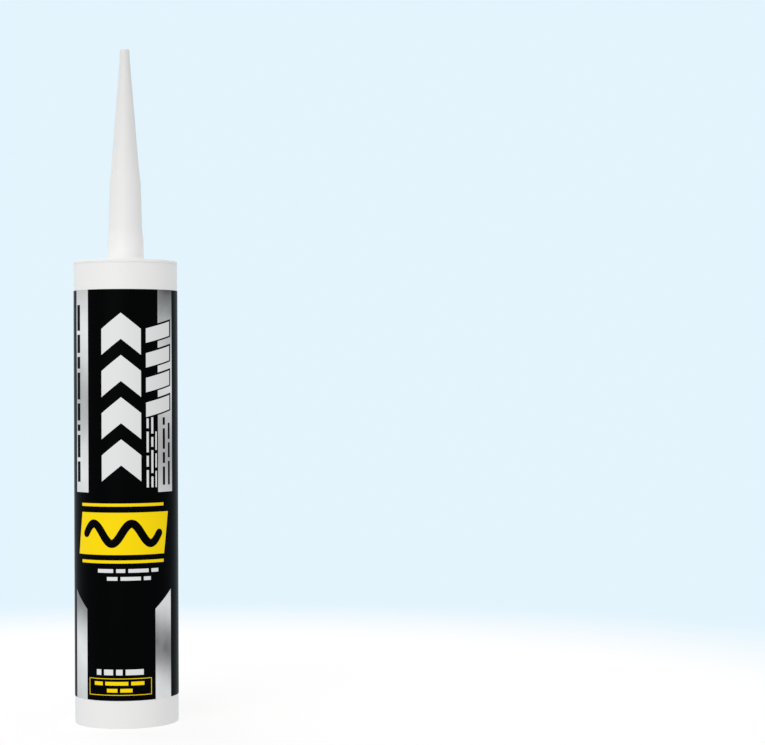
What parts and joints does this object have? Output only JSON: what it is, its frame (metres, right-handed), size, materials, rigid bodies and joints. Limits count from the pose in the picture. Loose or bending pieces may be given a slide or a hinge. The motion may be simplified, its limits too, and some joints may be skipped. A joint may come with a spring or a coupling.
{
  "type": "caulk tube",
  "caption": "Cylindrical sealant cartridge with a long tapered closed nozzle, a wrapped film label and a plunger in its open rear end; fits a standard caulking gun.",
  "frame": {"origin": "centre of the open rear rim, on the surface that the tube stands on", "axes": "+Z along the tube from the open rear end to the nozzle's tip, -Y towards the viewer, the label's lap seam at +Y"},
  "size_m": [0.0486, 0.0487, 0.316],
  "materials": {
    "barrel_plastic": "satin white extruded polyethylene",
    "nozzle_plastic": "satin white moulded polyethylene, slightly translucent",
    "seal_foil": "plain foil",
    "plunger_plastic": "natural white moulded polyethylene",
    "sealant_paste": "smooth white paste",
    "label_film": "satin printed film, black ground with silver stripes and white and yellow fields"
  },
  "bodies": {
    "cartridge": {"barrel": "barrel_plastic", "nozzle_head": "nozzle_plastic", "inner_seal": "seal_foil", "sealant": "sealant_paste", "label": "label_film"},
    "plunger": {"plunger": "plunger_plastic"}
  },
  "joints": [
    {"name": "plunger_slide", "type": "slide", "parent": "cartridge", "child": "plunger", "axis": [0, 0, 1], "range_m": [0, 0.1588], "deforming": ["sealant"]}
  ]
}
